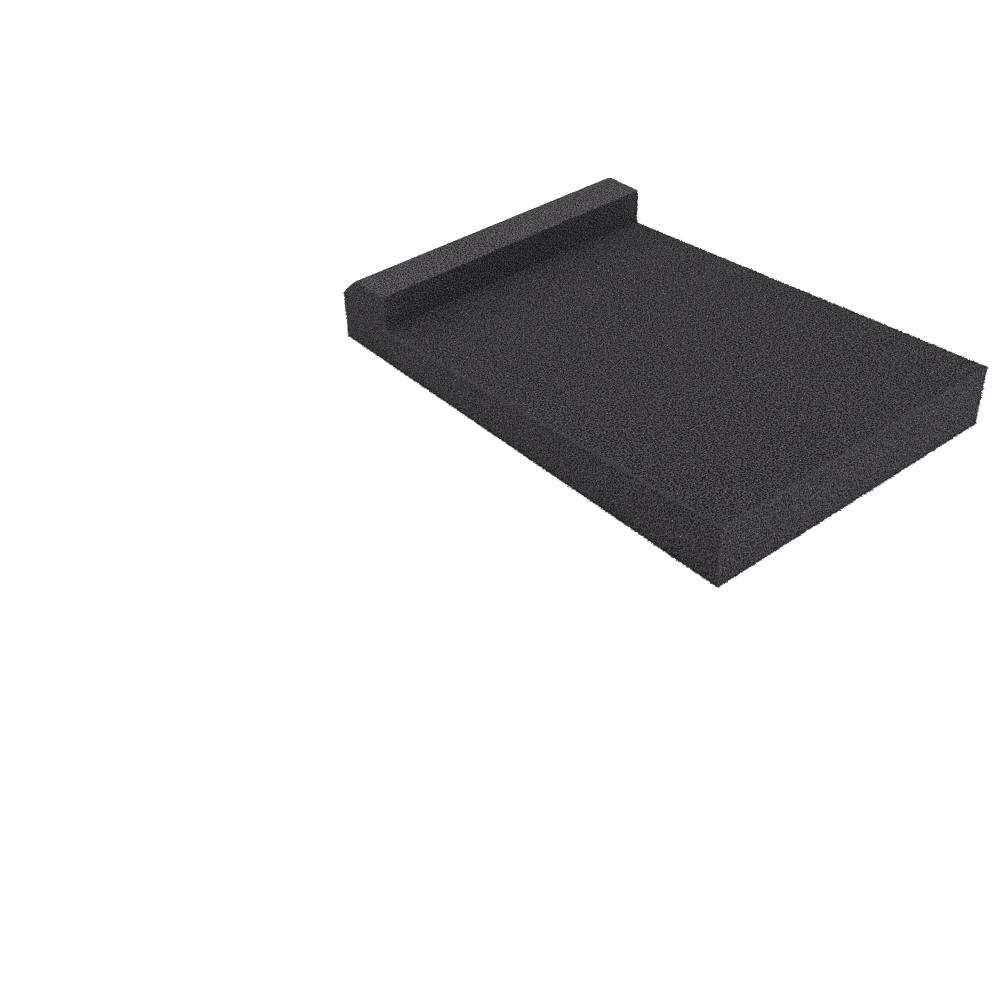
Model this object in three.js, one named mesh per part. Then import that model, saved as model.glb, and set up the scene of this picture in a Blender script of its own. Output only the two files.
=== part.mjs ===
// Speaker isolation pad: one block of open-cell foam, cut to a profile.
//
// Millimetres, +Z up. X runs from the stop lip to the thick end, Y across the width.
// The origin is the middle of the underside.
//
// A speaker stands on the sloping platform with one edge of its base against the lip:
// the slope tilts it, and the lip keeps it from sliding down.

import * as THREE from "three";

// The block.
const LENGTH = 303;
const WIDTH = 200;

// Heights of the platform above the underside, at the lip's foot and at the thick end.
const THIN_HEIGHT = 21;
const THICK_HEIGHT = 36.4;

// The stop lip at the thin end, measured from the underside and from its outer face.
const LIP_HEIGHT = 43.8;
const LIP_DEPTH = 40.5;

// The slanted cut along the lip's outer top edge: how far it reaches along the top and down the face,
// how far it bulges, and the round where it turns into the top.
const CHAMFER_RUN = 14.5;
const CHAMFER_DROP = 13.5;
const CHAMFER_CROWN = 0.55;
const CHAMFER_ROUND = 4;

// The inside corner that the cutting wire leaves where the platform meets the lip.
const FOOT_RADIUS = 1.5;

// Straight steps in each arc.
const ARC_STEPS = 8;

// Points along an arc from one angle to another, both ends included.
function arc(centre, radius, from, to) {
  const points = [];
  for (let step = 0; step <= ARC_STEPS; step++) {
    const angle = from + ((to - from) * step) / ARC_STEPS;
    const ray = new THREE.Vector2(Math.cos(angle), Math.sin(angle));
    points.push(centre.clone().addScaledVector(ray, radius));
  }
  return points;
}

// The concave round at the lip's foot, tangent to the platform and to the lip's inner face.
function footRound() {
  const slope = Math.atan2(THICK_HEIGHT - THIN_HEIGHT, LENGTH - LIP_DEPTH);
  const rise = FOOT_RADIUS * (Math.tan(slope) + 1 / Math.cos(slope));
  const centre = new THREE.Vector2(LIP_DEPTH + FOOT_RADIUS, THIN_HEIGHT + rise);
  return arc(centre, FOOT_RADIUS, slope - Math.PI / 2, -Math.PI);
}

// The slanted cut, from the lip's top down to its outer face: a small round that is tangent to the top,
// then a shallow arc that is tangent to the round and ends at the face in a plain edge.
function slantedCut() {
  const low = new THREE.Vector2(0, LIP_HEIGHT - CHAMFER_DROP);
  const high = new THREE.Vector2(CHAMFER_RUN, LIP_HEIGHT);
  const half = low.distanceTo(high) / 2;
  const radius = (half ** 2 + CHAMFER_CROWN ** 2) / (2 * CHAMFER_CROWN);
  const inward = new THREE.Vector2(CHAMFER_DROP, -CHAMFER_RUN).normalize();
  const centre = low.clone().lerp(high, 0.5).addScaledVector(inward, radius - CHAMFER_CROWN);

  const reach = radius - CHAMFER_ROUND;
  const up = LIP_HEIGHT - CHAMFER_ROUND - centre.y;
  const across = Math.sqrt(reach ** 2 - up ** 2);
  const roundCentre = new THREE.Vector2(centre.x - across, centre.y + up);
  const meet = Math.atan2(up, -across);
  const end = Math.atan2(low.y - centre.y, low.x - centre.x);
  const round = arc(roundCentre, CHAMFER_ROUND, Math.PI / 2, meet);
  const crown = arc(centre, radius, meet, end);
  return [...round, ...crown.slice(1)];
}

// The block's outline seen from its long side, X along and Z up, counter-clockwise.
function profile() {
  return new THREE.Shape([
    new THREE.Vector2(0, 0),
    new THREE.Vector2(LENGTH, 0),
    new THREE.Vector2(LENGTH, THICK_HEIGHT),
    ...footRound(),
    new THREE.Vector2(LIP_DEPTH, LIP_HEIGHT),
    ...slantedCut(),
  ]);
}

// Charcoal open-cell foam: matt all over, lit only by what its cell walls scatter.
const foam = new THREE.MeshStandardMaterial({
  color: 0x2a292c,
  roughness: 0.95,
  metalness: 0,
});

// The profile drawn upright and extruded across the width.
function makePad() {
  const block = new THREE.ExtrudeGeometry(profile(), { depth: WIDTH, bevelEnabled: false });
  const pad = new THREE.Mesh(block, foam);
  pad.name = "foam_pad";
  pad.rotation.x = Math.PI / 2;
  pad.position.set(-LENGTH / 2, WIDTH / 2, 0);
  return pad;
}

const group = new THREE.Group();
group.add(makePad());

export default group;
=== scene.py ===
import math
from functools import partial

import bpy
import numpy as np
from mathutils import Matrix, Vector
from mathutils.geometry import delaunay_2d_cdt


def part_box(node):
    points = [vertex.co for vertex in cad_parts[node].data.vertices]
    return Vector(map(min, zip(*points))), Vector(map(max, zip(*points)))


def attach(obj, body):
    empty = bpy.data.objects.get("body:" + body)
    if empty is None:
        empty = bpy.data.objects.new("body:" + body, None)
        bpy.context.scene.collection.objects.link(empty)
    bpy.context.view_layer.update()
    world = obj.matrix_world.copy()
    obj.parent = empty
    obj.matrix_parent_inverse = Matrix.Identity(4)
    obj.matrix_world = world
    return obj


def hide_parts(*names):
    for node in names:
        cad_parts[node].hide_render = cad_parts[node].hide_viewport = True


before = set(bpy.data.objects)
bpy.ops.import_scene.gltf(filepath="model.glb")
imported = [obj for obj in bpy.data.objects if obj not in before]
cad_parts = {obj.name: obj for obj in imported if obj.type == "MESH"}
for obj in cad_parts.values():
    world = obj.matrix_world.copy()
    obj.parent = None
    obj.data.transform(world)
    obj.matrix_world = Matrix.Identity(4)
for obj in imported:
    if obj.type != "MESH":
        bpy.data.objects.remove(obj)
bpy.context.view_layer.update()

# Metres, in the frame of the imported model: +X from the stop lip to the thick end, Y across, Z up.
MM = 0.001
NODE = "foam_pad"
LOW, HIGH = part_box(NODE)
LEFT = LOW[0]
FRONT, BACK = LOW[1], HIGH[1]
BOTTOM, TOP = LOW[2], HIGH[2]
SEED = 20

# The camera, which was fitted to the corners of the pad in the photograph. Angles in degrees.
LENS = 51.185
SENSOR = 36.0
CAMERA_PLACE = Vector((0.47903, -0.48911, 0.44818))
CAMERA_HEADING = 141.529
CAMERA_PITCH = 38.132
CAMERA_ROLL = -1.976
NEAREST = 0.01
FARTHEST = 100.0

# Width of the render's pixel filter, in pixels.
FILTER_WIDTH = 1.1

# A point under the lip from which every corner of the pad's outline is in sight, from the lower left.
SIGHT = np.array([30.0, 10.0]) * MM
SHARP_TURN = math.radians(25)
FLATNESS = 0.1 * MM

# The cells that a cut opens, in the faces and in the underside. The jitter is a share of their size.
CELL = 1.93 * MM
UNDERSIDE_CELL = 6.0 * MM
CELL_JITTER = 0.30
EDGE_CLEARANCE = 0.55

# How deep the pits are, how uneven the ridges between them, and how worn the edges.
PIT_DEPTH = (0.25 * MM, 0.50 * MM)
RIDGE_DEPTH = (0.0, 0.12 * MM)
EDGE_WEAR = (0.08 * MM, 0.45 * MM)
EDGE_RIDGE = (0.0, 0.20 * MM)
DEEPEST_BY_EDGE = 0.45
SAME_PLACE = 0.01 * MM
TRIANGLE_TOLERANCE = 1e-9

# Where the pad's smoother first skin shows: the lip's top in part, and all the slanted cut beside it. It
# is
# lighter in colour: on the lip's top as the skin's own tone, and on the slanted cut also as painted sheen.
TOP_SKIN = 0.52
TOP_SKIN_START = 0.48 * MM
TOP_SKIN_FADE = 0.4 * MM
SLANT_RUN = 14.5 * MM
SLANT_DROP = 13.3 * MM
SKIN_FILL = 0.5

# The foam's own colour, and how far its cells stray from it, partly by painted shade. A contrast is a
# weight in an exponent, and a middle is the value at which it changes nothing. A pore is dark in its
# middle, which is painted shade of the open cell, and gets lighter up to PORE_REACH from there, as a share
# of PORE. PORE_SPREAD is how far pores stray from a grid, up to 1. Deeper pits are darker, which is
# painted shade too.
FOAM_COLOUR = (0.0067, 0.0063, 0.0067)
FOAM_ROUGHNESS = 0.85
FOAM_SPECULAR = 0.06
PORE = 1.15 * MM
PORE_SHADE_CONTRAST = 13.0
PORE_REACH = 0.45
PORE_MIDDLE = 0.3
PORE_SPREAD = 0.85
GRAIN = 0.9 * MM
GRAIN_CONTRAST = 0.4
GRAIN_MIDDLE = 0.5
PIT_SHADE_CONTRAST = 0.3
PIT_SHADE_MIDDLE = 0.28
MOTTLE = 35 * MM
MOTTLE_CONTRAST = 0.25
MOTTLE_MIDDLE = 0.5
SKIN_AND_SHEEN_LIGHTER = 1.0
DEEPEST_PIT = 0.75 * MM
BUMP_DEPTH = 0.45 * MM
BUMP_STRENGTH = 0.7

# Walls of opened cells that stand in the faces, or along the edges. Each kind is a piece of its own.
FACE_WALLS = {
    "length": (0.35 * MM, 0.75 * MM),
    "radius": (0.10 * MM, 0.18 * MM),
    "rise": 0.5,
    "thick_tip": True,
    "by_edge": False,
}
EDGE_WALLS = {**FACE_WALLS, "by_edge": True}
FRAYED_WALLS = {
    "length": (0.9 * MM, 2.6 * MM),
    "radius": (0.14 * MM, 0.26 * MM),
    "rise": 1.0,
    "thick_tip": False,
    "by_edge": True,
}
WALL_KINDS = {
    "foam_walls_dark": {**FACE_WALLS, "count": 30000, "colour": (0.030, 0.028, 0.031)},
    "foam_walls_dim": {**FACE_WALLS, "count": 40000, "colour": (0.070, 0.066, 0.072)},
    "foam_walls_grey": {**FACE_WALLS, "count": 34000, "colour": (0.115, 0.108, 0.117)},
    # These walls' pale colour is painted glint: light caught on the facets of cell walls.
    "foam_walls_painted_glint": {**FACE_WALLS, "count": 14000, "colour": (0.370, 0.346, 0.375)},
    # The edge walls are lighter than the faces' walls by a painted highlight along the edges.
    "foam_walls_edge_highlight": {**EDGE_WALLS, "count": 5000, "colour": (0.190, 0.179, 0.194)},
    "foam_walls_fray": {**FRAYED_WALLS, "count": 10000, "colour": (0.045, 0.042, 0.046)},
}

# The walls' finish. Their mottle takes their tone as far below their colour as above it.
WALL_ROUGHNESS = 0.6
WALL_SPECULAR = 0.3
WALL_MOTTLE = 5 * MM
WALL_MOTTLE_DETAIL = 3.0
WALL_MOTTLE_SPAN = (0.25, 0.75)
WALL_SHADE = 0.88

# How a wall stands: its least lean out of the face, how deep its foot is, how near the floor it comes,
# and how far the feet of edge walls stray from the edge. Faces that look further down than UNDERSIDE
# carry none.
WALL_LEAST_RISE = 0.05
WALL_ROOT = 0.1 * MM
WALL_LOWEST = BOTTOM + 0.18 * MM
OFF_EDGE = 0.06
UNDERSIDE = -0.9
SPIKE_FACES = np.array([(0, 2, 1), (0, 1, 3), (1, 2, 3), (2, 0, 3)])

# Side of the square that holds the unrolled faces, for the baked texture, and how they lie in it. The
# four corners of a wall share a small spot of it, beside the wall's foot.
SHEET = 402 * MM
SHEET_GAP = 1.5 * MM
UNDERSIDE_SCALE = 0.5
SPOT_SIZE = 0.2 * MM
WALL_SPOT = np.array([(0, 0), (1, 0), (0, 1), (1, 1)]) * SPOT_SIZE / SHEET

# The studio. The floor glows a little, as the white table of the photograph does.
FLOOR_SIZE = 12.0
FLOOR_DROP = 0.05 * MM
FLOOR_COLOUR = (0.9, 0.9, 0.9)
FLOOR_GLOW = 0.76
FLOOR_GLOW_COLOUR = (1.0, 1.0, 1.1)
SKY = 0.45

# Large soft lamps, all aimed at the pad: place, side, power in watts and colour.
LAMPS = {
    "key_left": ((-1.9, -0.4, 1.4), 1.0, 15.0, (1.0, 1.0, 1.3)),
    "fill_right": ((2.4, 0.4, 1.6), 1.6, 46.0, (1.0, 1.0, 1.2)),
    "top": ((0.0, 0.2, 3.0), 2.0, 70.0, (1.0, 1.0, 0.96)),
}


def between(rng, span, count=None):
    return rng.uniform(span[0], span[1], count)


def unit(vectors):
    return vectors / np.linalg.norm(vectors, axis=-1, keepdims=True)


# The outline of the pad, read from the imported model's own corners at its far side.
def outline():
    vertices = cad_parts[NODE].data.vertices
    far = {(round(v.co.x, 7), round(v.co.z, 7)) for v in vertices if v.co.y > 0}
    sight = SIGHT + (LEFT, BOTTOM)
    return np.array(sorted(far, key=lambda p: math.atan2(p[1] - sight[1], p[0] - sight[0])))


# The runs of the outline between its sharp corners. Each is one face of the block.
def runs_between_corners(points):
    ahead = np.roll(points, -1, 0) - points
    behind = points - np.roll(points, 1, 0)
    cross = behind[:, 0] * ahead[:, 1] - behind[:, 1] * ahead[:, 0]
    turn = np.arctan2(cross, (behind * ahead).sum(1))
    sharp = [i for i in range(len(points)) if abs(turn[i]) > SHARP_TURN]
    ends = sharp[1:] + [sharp[0] + len(points)]
    return [points[np.arange(start, end + 1) % len(points)] for start, end in zip(sharp, ends)]


# Points along a line at about one cell's spacing, ends included, and how far along it each lies.
def spaced(line):
    steps = np.linalg.norm(np.diff(line, axis=0), axis=1)
    along = np.concatenate([[0.0], np.cumsum(steps)])
    count = max(1, round(along[-1] / CELL))
    marks = np.linspace(0, along[-1], count + 1)
    return np.stack([np.interp(marks, along, line[:, axis]) for axis in (0, 1)], 1), marks


# How much of the pad's smoother first skin is left at some places. It also makes the colour lighter, which
# on the slanted cut is painted sheen.
def smoothness(places):
    x, z = places[..., 0], places[..., 2]
    top = np.clip((z - (TOP - TOP_SKIN_START)) / TOP_SKIN_FADE, 0, 1) * TOP_SKIN
    slant = (x < LEFT + SLANT_RUN) & (z > TOP - SLANT_DROP)
    return np.maximum(top, slant)


# A run of the outline that is swept across the pad: u along the run, v across.
class Strip:
    keeps_skin = True

    def __init__(self, points):
        self.points = points
        steps = np.diff(points, axis=0)
        lengths = np.hypot(steps[:, 0], steps[:, 1])
        self.along = np.concatenate([[0.0], np.cumsum(lengths)])
        self.length = self.along[-1]
        normals = np.stack([steps[:, 1], -steps[:, 0]], 1) / lengths[:, None]
        self.normals = np.concatenate([normals[:1], unit(normals[:-1] + normals[1:]), normals[-1:]])
        self.is_underside = bool(np.all(points[:, 1] < BOTTOM + FLATNESS))

    def at(self, u, v):
        x = np.interp(u, self.along, self.points[:, 0])
        z = np.interp(u, self.along, self.points[:, 1])
        return np.stack([x, v, z], -1)

    def normal(self, u, v):
        x = np.interp(u, self.along, self.normals[:, 0])
        z = np.interp(u, self.along, self.normals[:, 1])
        return unit(np.stack([x, np.zeros_like(x), z], -1))


# One of the two long sides, which show the outline: u along X, v up.
class Side:
    keeps_skin = False
    is_underside = False

    def __init__(self, y):
        self.y = y

    def at(self, u, v):
        return np.stack([u, np.full_like(u, self.y), v], -1)

    def normal(self, u, v):
        facing = math.copysign(1.0, self.y)
        return np.stack([np.zeros_like(u), np.full_like(u, facing), np.zeros_like(u)], -1)


# The places, normals and smoothness at flat points of a face.
def on_face(form, flat):
    places = form.at(flat[:, 0], flat[:, 1])
    normals = form.normal(flat[:, 0], flat[:, 1])
    return places, normals, smoothness(places) * form.keeps_skin


# Distance from points to a closed loop, and whether they lie in it.
def to_loop(points, loop):
    nearest = np.full(len(points), np.inf)
    inside = np.zeros(len(points), bool)
    for a, b in zip(loop, np.roll(loop, -1, 0)):
        edge = b - a
        share = np.clip(((points - a) @ edge) / (edge @ edge), 0, 1)
        nearest = np.minimum(nearest, np.linalg.norm(points - (a + share[:, None] * edge), axis=1))
        if a[1] != b[1]:
            crosses = (points[:, 1] < a[1]) != (points[:, 1] < b[1])
            meet = a[0] + (points[:, 1] - a[1]) * edge[0] / edge[1]
            inside ^= crosses & (points[:, 0] < meet)
    return nearest, inside


# Cell centres over a face: a honeycomb whose points are each moved at random.
def cell_centres(loop, cell, rng):
    low, high = loop.min(0), loop.max(0)
    row = cell * math.sqrt(3) / 2
    across = np.arange(low[0], high[0] + cell, cell)
    up = np.arange(low[1], high[1] + row, row)
    grid_u, grid_v = np.meshgrid(across, up)
    grid_u = grid_u + (np.arange(len(up)) % 2)[:, None] * cell / 2
    points = np.stack([grid_u.ravel(), grid_v.ravel()], 1)
    points += rng.uniform(-CELL_JITTER, CELL_JITTER, points.shape) * cell
    distance, inside = to_loop(points, loop)
    return points[inside & (distance > EDGE_CLEARANCE * CELL)]


# Triangles over the points of a face, and their centres. The first points are the loop round it. It may
# be concave, so triangles that lie outside it are dropped.
def triangles_over(flat, loop):
    ring = list(range(len(loop)))
    made = delaunay_2d_cdt([Vector(p) for p in flat], [], [ring], 1, TRIANGLE_TOLERANCE, True)
    if len(made[0]) != len(flat):
        raise RuntimeError("the triangles of a face added or lost a point")
    order = [origin[0] for origin in made[3]]
    corners = np.array([[order[i] for i in triangle] for triangle in made[2]])
    centres = flat[corners].mean(1)
    _, inside = to_loop(centres, loop)
    return corners[inside], centres[inside]


# The block's skin as one closed mesh. Cells meet in ridges, and each has a pit in its middle.
class Skin:
    def __init__(self):
        self.rng = np.random.default_rng(SEED)
        self.places = []
        self.inward = []
        self.depths = []
        self.smooth = []
        self.is_rim = []
        self.triangles = []
        self.sheets = []
        self.corner_points = {}
        self.middle_points = {}

    def add(self, place, normal, depth, smooth, is_rim=False):
        self.places.append(place)
        self.inward.append(-normal)
        self.depths.append(float(depth))
        self.smooth.append(smooth)
        self.is_rim.append(is_rim)
        return len(self.places) - 1

    # A point on an edge, which the faces that meet there share.
    def add_shared(self, known, key, place, normal, depths, smooth):
        if key in known:
            self.inward[known[key]] = self.inward[known[key]] - normal
        else:
            known[key] = self.add(place, normal, between(self.rng, depths), smooth, is_rim=True)
        return known[key]

    # A triangle from three pairs of a point's index and its flat place.
    def add_triangle(self, sheet, *corners):
        self.triangles.append([index for index, _ in corners])
        self.sheets.append([sheet(flat) for _, flat in corners])

    def add_face(self, form, loop, sheet):
        inner = cell_centres(loop, UNDERSIDE_CELL if form.is_underside else CELL, self.rng)
        flat = np.concatenate([loop, inner])
        places, normals, smooth = on_face(form, flat)
        distance, _ = to_loop(inner, loop)
        depths = between(self.rng, PIT_DEPTH, len(inner)) * (1 - SKIN_FILL * smooth[len(loop):])
        depths = np.minimum(depths, DEEPEST_BY_EDGE * distance)

        ids = []
        for place, normal, left in zip(places[:len(loop)], normals, smooth):
            key = tuple(np.round(place / SAME_PLACE).astype(int))
            ids.append(self.add_shared(self.corner_points, key, place, normal, EDGE_WEAR, left))
        for i, depth in enumerate(depths, len(loop)):
            ids.append(self.add(places[i], normals[i], depth, smooth[i]))

        corners, centres = triangles_over(flat, loop)
        ridges = between(self.rng, RIDGE_DEPTH, len(centres))
        centre_places, centre_normals, centre_smooth = on_face(form, centres)
        centre_ids = [
            self.add(*point) for point in zip(centre_places, centre_normals, ridges, centre_smooth)
        ]
        beside = {}
        for t, (a, b, c) in enumerate(corners):
            for edge in ((a, b), (b, c), (c, a)):
                beside[edge] = t
        for (a, b), t in beside.items():
            other = beside.get((b, a))
            start = (ids[a], flat[a])
            end = (ids[b], flat[b])
            centre = (centre_ids[t], centres[t])
            if other is None:
                halfway = (flat[a] + flat[b]) / 2
                place = (places[a] + places[b]) / 2
                normal = form.normal(halfway[:1], halfway[1:])[0]
                key = (min(ids[a], ids[b]), max(ids[a], ids[b]))
                shared = self.add_shared(self.middle_points, key, place, normal, EDGE_RIDGE, smooth[a])
                middle = (shared, halfway)
                self.add_triangle(sheet, start, middle, centre)
                self.add_triangle(sheet, middle, end, centre)
            elif a < b:
                beyond = (centre_ids[other], centres[other])
                self.add_triangle(sheet, start, beyond, centre)
                self.add_triangle(sheet, end, centre, beyond)

    # The lists as arrays, with every point moved in by its depth.
    def settle(self):
        self.outward = -unit(np.array(self.inward))
        self.depths = np.array(self.depths)
        self.points = np.array(self.places) - self.outward * self.depths[:, None]
        self.smooth = np.array(self.smooth)
        self.is_rim = np.array(self.is_rim)
        self.corners = np.array(self.triangles)
        self.sheet = np.array(self.sheets)


# The place on the sheet, from 0 to 1, of a flat point of a face whose low corner comes to lie at a corner.
def on_sheet(corner, low, scale, point):
    across = corner[0] + (point[0] - low[0]) * scale
    up = corner[1] + (point[1] - low[1]) * scale
    return across / SHEET, up / SHEET


# Where each unrolled face lies on the sheet: the strips side by side, and the rest in rows above them.
def sheet_places(strips):
    width = BACK - FRONT
    height = TOP - BOTTOM
    made = []
    left = SHEET_GAP
    for strip in strips:
        if strip.is_underside:
            corner = (SHEET_GAP, width + 2 * height + 4 * SHEET_GAP)
            made.append(partial(on_sheet, corner, (0.0, FRONT), UNDERSIDE_SCALE))
        else:
            made.append(partial(on_sheet, (left, SHEET_GAP), (0.0, FRONT), 1.0))
            left += strip.length + SHEET_GAP
    for row in range(2):
        corner = (SHEET_GAP, width + (row + 2) * SHEET_GAP + row * height)
        made.append(partial(on_sheet, corner, (LEFT, BOTTOM), 1.0))
    return made


def build_skin():
    strips = []
    rims = []
    marks = []
    for run in runs_between_corners(outline()):
        rim, along = spaced(run)
        strips.append(Strip(run))
        rims.append(rim[:-1])
        marks.append(along)
    sheets = sheet_places(strips)

    skin = Skin()
    across = np.linspace(FRONT, BACK, round((BACK - FRONT) / CELL) + 1)
    for strip, along, sheet in zip(strips, marks, sheets):
        front = [(u, FRONT) for u in along[:-1]]
        right = [(strip.length, v) for v in across[:-1]]
        back = [(u, BACK) for u in along[:0:-1]]
        left = [(0.0, v) for v in across[:0:-1]]
        skin.add_face(strip, np.array(front + right + back + left), sheet)
    for y, sheet in zip((FRONT, BACK), sheets[-2:]):
        skin.add_face(Side(y), np.concatenate(rims), sheet)
    skin.settle()
    return skin


# A new piece from points and triangles, with the places of the triangles' corners on the sheet.
def triangle_piece(name, points, triangles, sheet, finish):
    mesh = bpy.data.meshes.new(name)
    mesh.vertices.add(len(points))
    mesh.vertices.foreach_set("co", points.astype(np.float32).ravel())
    mesh.loops.add(triangles.size)
    mesh.loops.foreach_set("vertex_index", triangles.astype(np.int32).ravel())
    mesh.polygons.add(len(triangles))
    mesh.polygons.foreach_set("loop_start", np.arange(0, triangles.size, 3, dtype=np.int32))
    mesh.update(calc_edges=True)
    mesh.validate()
    layer = mesh.uv_layers.new(name="OFBake")
    layer.data.foreach_set("uv", sheet.astype(np.float32).ravel())
    mesh.materials.append(finish)
    piece = bpy.data.objects.new(name, mesh)
    bpy.context.scene.collection.objects.link(piece)
    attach(piece, "root")
    return piece


def make_block(skin):
    block = triangle_piece("foam_block", skin.points, skin.corners, skin.sheet, foam_material())
    # The pit depth goes to the colour, where deeper places get darker by painted shade.
    for name, values in (("smooth_skin_and_sheen", skin.smooth), ("pit", skin.depths / DEEPEST_PIT)):
        kept = block.data.attributes.new(name, "FLOAT", "POINT")
        kept.data.foreach_set("value", values.astype(np.float32))
    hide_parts(NODE)


# A new material with one matt surface, and what it takes to add to it.
def matt_material(name, roughness, specular):
    made = bpy.data.materials.new(name)
    made.use_nodes = True
    nodes = made.node_tree.nodes
    links = made.node_tree.links
    nodes.clear()
    out = nodes.new("ShaderNodeOutputMaterial")
    surface = nodes.new("ShaderNodeBsdfPrincipled")
    surface.inputs["Roughness"].default_value = roughness
    surface.inputs["Specular IOR Level"].default_value = specular
    links.new(surface.outputs["BSDF"], out.inputs["Surface"])
    return made, nodes, links, surface


# A texture node with features of one size, at places that another node gives.
def texture(nodes, links, kind, where, size):
    made = nodes.new(kind)
    made.inputs["Scale"].default_value = 1 / size
    links.new(where, made.inputs["Vector"])
    return made


def attribute(nodes, name):
    read = nodes.new("ShaderNodeAttribute")
    read.attribute_name = name
    return read.outputs["Fac"]


def calculate(nodes, links, operation, *values):
    step = nodes.new("ShaderNodeMath")
    step.operation = operation
    for socket, value in zip(step.inputs, values):
        if isinstance(value, float):
            socket.default_value = value
        else:
            links.new(value, socket)
    return step.outputs["Value"]


# Charcoal foam: round pores, darkened in their middles by painted shade, laid out over the unrolled faces,
# in a net of lighter cell walls. Deeper pits are darker by painted shade as well.
def foam_material():
    made, nodes, links, surface = matt_material("charcoal_foam", FOAM_ROUGHNESS, FOAM_SPECULAR)
    where = nodes.new("ShaderNodeTexCoord").outputs["Object"]
    unrolled = nodes.new("ShaderNodeUVMap")
    unrolled.uv_map = "OFBake"

    pores = texture(nodes, links, "ShaderNodeTexVoronoi", unrolled.outputs["UV"], PORE / SHEET)
    pores.voronoi_dimensions = "2D"
    pores.inputs["Randomness"].default_value = PORE_SPREAD
    pore = calculate(nodes, links, "MINIMUM", pores.outputs["Distance"], PORE_REACH)
    grains = texture(nodes, links, "ShaderNodeTexVoronoi", where, GRAIN)
    parted = nodes.new("ShaderNodeSeparateColor")
    links.new(grains.outputs["Color"], parted.inputs["Color"])
    mottle = texture(nodes, links, "ShaderNodeTexNoise", where, MOTTLE)

    tone = 0.0
    for value, middle, weight in (
        # The pores' dark middles are painted shade of the open cells.
        (pore, PORE_MIDDLE, PORE_SHADE_CONTRAST),
        (parted.outputs["Red"], GRAIN_MIDDLE, GRAIN_CONTRAST),
        # Deeper pits are darker: painted shade in the open cells.
        (attribute(nodes, "pit"), PIT_SHADE_MIDDLE, -PIT_SHADE_CONTRAST),
        (mottle.outputs["Fac"], MOTTLE_MIDDLE, MOTTLE_CONTRAST),
        # The skin is lighter; on the slanted cut this lightening is painted sheen.
        (attribute(nodes, "smooth_skin_and_sheen"), 0.0, SKIN_AND_SHEEN_LIGHTER),
    ):
        off = calculate(nodes, links, "SUBTRACT", value, middle)
        tone = calculate(nodes, links, "MULTIPLY_ADD", off, weight, tone)
    shade = nodes.new("ShaderNodeVectorMath")
    shade.operation = "SCALE"
    shade.inputs[0].default_value = FOAM_COLOUR
    links.new(calculate(nodes, links, "EXPONENT", tone), shade.inputs["Scale"])
    links.new(shade.outputs["Vector"], surface.inputs["Base Color"])

    bump = nodes.new("ShaderNodeBump")
    bump.inputs["Strength"].default_value = BUMP_STRENGTH
    bump.inputs["Distance"].default_value = BUMP_DEPTH
    links.new(pores.outputs["Distance"], bump.inputs["Height"])
    links.new(bump.outputs["Normal"], surface.inputs["Normal"])
    return made


def wall_material(name, colour):
    made, nodes, links, surface = matt_material(name, WALL_ROUGHNESS, WALL_SPECULAR)
    where = nodes.new("ShaderNodeTexCoord").outputs["Object"]
    mottle = texture(nodes, links, "ShaderNodeTexNoise", where, WALL_MOTTLE)
    mottle.inputs["Detail"].default_value = WALL_MOTTLE_DETAIL
    colours = nodes.new("ShaderNodeValToRGB")
    dark, light = colours.color_ramp.elements
    dark.position, light.position = WALL_MOTTLE_SPAN
    dark.color = (*(WALL_SHADE * part for part in colour), 1)
    light.color = (*((2 - WALL_SHADE) * part for part in colour), 1)
    links.new(mottle.outputs["Fac"], colours.inputs["Fac"])
    links.new(colours.outputs["Color"], surface.inputs["Base Color"])
    return made


# Triangles for the feet of some walls, spread evenly: every cell gets its share, and so does every edge
# but those of the smooth skin.
def feet(skin, count, by_edge, rng):
    able = skin.outward[skin.corners].mean(1)[:, 2] > UNDERSIDE
    if by_edge:
        able &= skin.is_rim[skin.corners].sum(1) == 2
        able &= skin.smooth[skin.corners].sum(1) == 0
    able = np.flatnonzero(able)
    able = able[np.argsort(skin.corners[able, 0] + rng.random(len(able)))]
    return able[((np.arange(count) + rng.random(count)) * len(able) / count).astype(int)]


# The ends of some walls: each starts under the skin and leans at random, but never back into the block.
# With them go the places of the feet on the sheet.
def wall_ends(skin, kind, rng):
    count = kind["count"]
    chosen = feet(skin, count, kind["by_edge"], rng)
    corners = skin.corners[chosen]
    shares = rng.dirichlet((1, 1, 1), count)
    if kind["by_edge"]:
        shares = np.where(skin.is_rim[corners], shares, shares * OFF_EDGE)
        shares /= shares.sum(1, keepdims=True)
    foot = (skin.points[corners] * shares[..., None]).sum(1)
    sheet = (skin.sheet[chosen] * shares[..., None]).sum(1)
    out = unit((skin.outward[corners] * shares[..., None]).sum(1))
    way = unit(rng.normal(size=foot.shape))
    lean = (way * out).sum(1, keepdims=True)
    way += out * (np.abs(lean) * kind["rise"] + WALL_LEAST_RISE - lean)
    tip = foot + way * between(rng, kind["length"], count)[:, None]
    foot = foot - out * WALL_ROOT
    foot[:, 2] = np.maximum(foot[:, 2], WALL_LOWEST)
    tip[:, 2] = np.maximum(tip[:, 2], WALL_LOWEST)
    return foot, tip, sheet


# Long thin spikes, each a closed solid of four triangles: three corners round its thick end, and its tip.
def spikes(thick, tip, radius, rng):
    line = unit(tip - thick)
    first = unit(np.cross(line, rng.normal(size=line.shape)))
    second = np.cross(line, first)
    corners = []
    for corner in range(3):
        angle = math.tau * corner / 3
        ray = math.cos(angle) * first + math.sin(angle) * second
        corners.append(thick + ray * radius[:, None])
    return np.stack([*corners, tip], 1)


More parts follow.
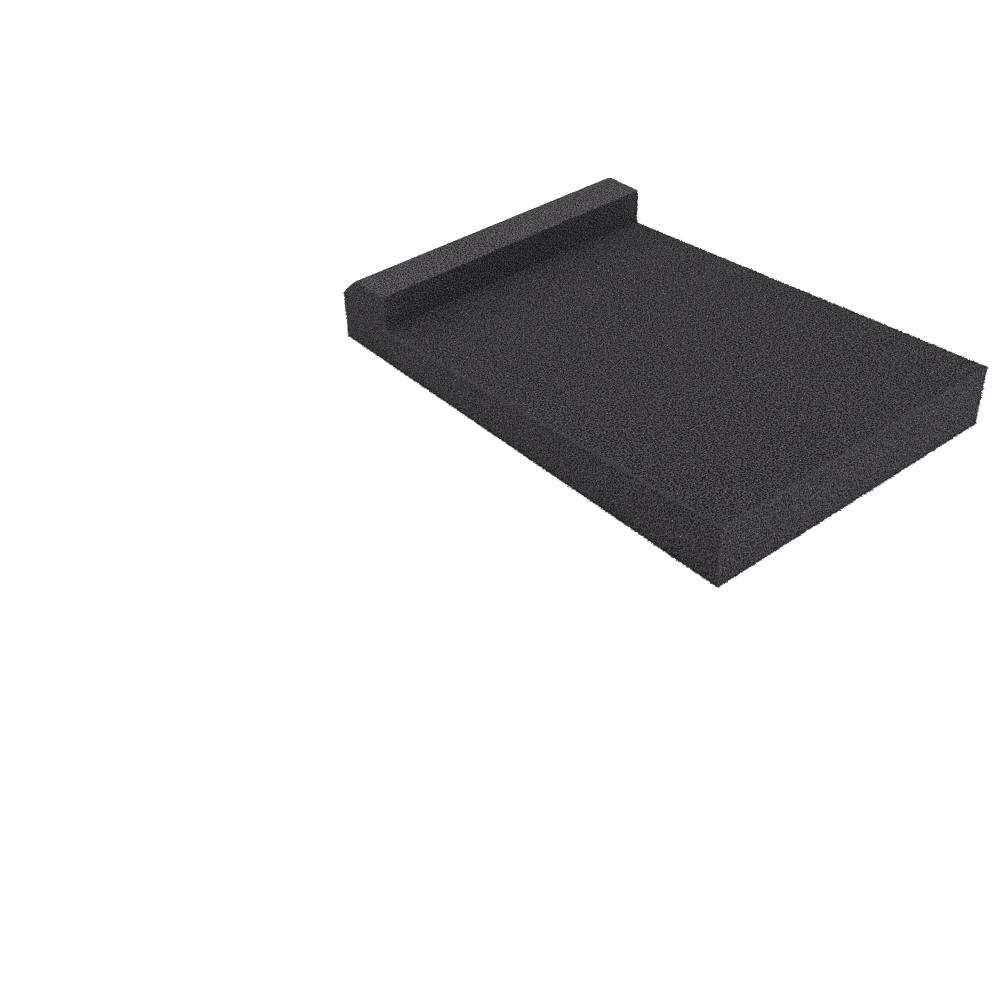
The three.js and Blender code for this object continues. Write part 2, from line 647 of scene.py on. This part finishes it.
def make_walls(skin):
    rng = np.random.default_rng(SEED + 1)
    for name, kind in WALL_KINDS.items():
        foot, tip, sheet = wall_ends(skin, kind, rng)
        thick, thin = (tip, foot) if kind["thick_tip"] else (foot, tip)
        points = spikes(thick, thin, between(rng, kind["radius"], kind["count"]), rng)
        first = points.shape[1] * np.arange(kind["count"])
        triangles = (first[:, None, None] + SPIKE_FACES).reshape(-1, 3)
        spots = (sheet[:, None, :] + WALL_SPOT)[:, SPIKE_FACES]
        finish = wall_material(name, kind["colour"])
        triangle_piece(name, points.reshape(-1, 3), triangles, spots, finish)


def make_camera():
    heading, pitch, roll = (math.radians(a) for a in (CAMERA_HEADING, CAMERA_PITCH, CAMERA_ROLL))
    ahead = Vector((math.cos(heading), math.sin(heading), 0))
    look = math.cos(pitch) * ahead - Vector((0, 0, math.sin(pitch)))
    level = Vector((math.sin(heading), -math.cos(heading), 0))
    upright = level.cross(look)
    right = math.cos(roll) * level + math.sin(roll) * upright
    up = math.cos(roll) * upright - math.sin(roll) * level
    data = bpy.data.cameras.new("camera")
    data.lens = LENS
    data.sensor_width = SENSOR
    data.clip_start = NEAREST
    data.clip_end = FARTHEST
    camera = bpy.data.objects.new("camera", data)
    turned = Matrix((right, up, -look)).transposed()
    camera.matrix_world = Matrix.Translation(CAMERA_PLACE) @ turned.to_4x4()
    bpy.context.scene.collection.objects.link(camera)
    bpy.context.scene.camera = camera


def make_floor():
    half = FLOOR_SIZE / 2
    mesh = bpy.data.meshes.new("floor")
    corners = [(-half, -half, 0), (half, -half, 0), (half, half, 0), (-half, half, 0)]
    mesh.from_pydata(corners, [], [(0, 1, 2, 3)])
    made, _, _, surface = matt_material("pale_floor", 1.0, 0.0)
    surface.inputs["Base Color"].default_value = (*FLOOR_COLOUR, 1)
    surface.inputs["Emission Color"].default_value = (*FLOOR_GLOW_COLOUR, 1)
    surface.inputs["Emission Strength"].default_value = FLOOR_GLOW
    mesh.materials.append(made)
    floor = bpy.data.objects.new("floor", mesh)
    floor.location.z = BOTTOM - FLOOR_DROP
    bpy.context.scene.collection.objects.link(floor)


def add_lamp(name, place, size, power, colour):
    data = bpy.data.lights.new(name, "AREA")
    data.shape = "SQUARE"
    data.size = size
    data.energy = power
    data.color = colour
    lamp = bpy.data.objects.new(name, data)
    lamp.location = place
    lamp.rotation_euler = (-Vector(place)).to_track_quat("-Z", "Y").to_euler()
    bpy.context.scene.collection.objects.link(lamp)


def light_studio():
    world = bpy.data.worlds.new("studio")
    world.use_nodes = True
    background = world.node_tree.nodes["Background"]
    background.inputs["Color"].default_value = (1, 1, 1, 1)
    background.inputs["Strength"].default_value = SKY
    bpy.context.scene.world = world
    for name, lamp in LAMPS.items():
        add_lamp(name, *lamp)


# The foam's grain is about a pixel wide, so nothing may blur it.
def keep_grain():
    scene = bpy.context.scene
    scene.view_settings.view_transform = "Standard"
    scene.cycles.filter_width = FILTER_WIDTH
    scene.cycles.denoising_prefilter = "NONE"


make_camera()
make_floor()
light_studio()
keep_grain()
SKIN = build_skin()
make_block(SKIN)
make_walls(SKIN)
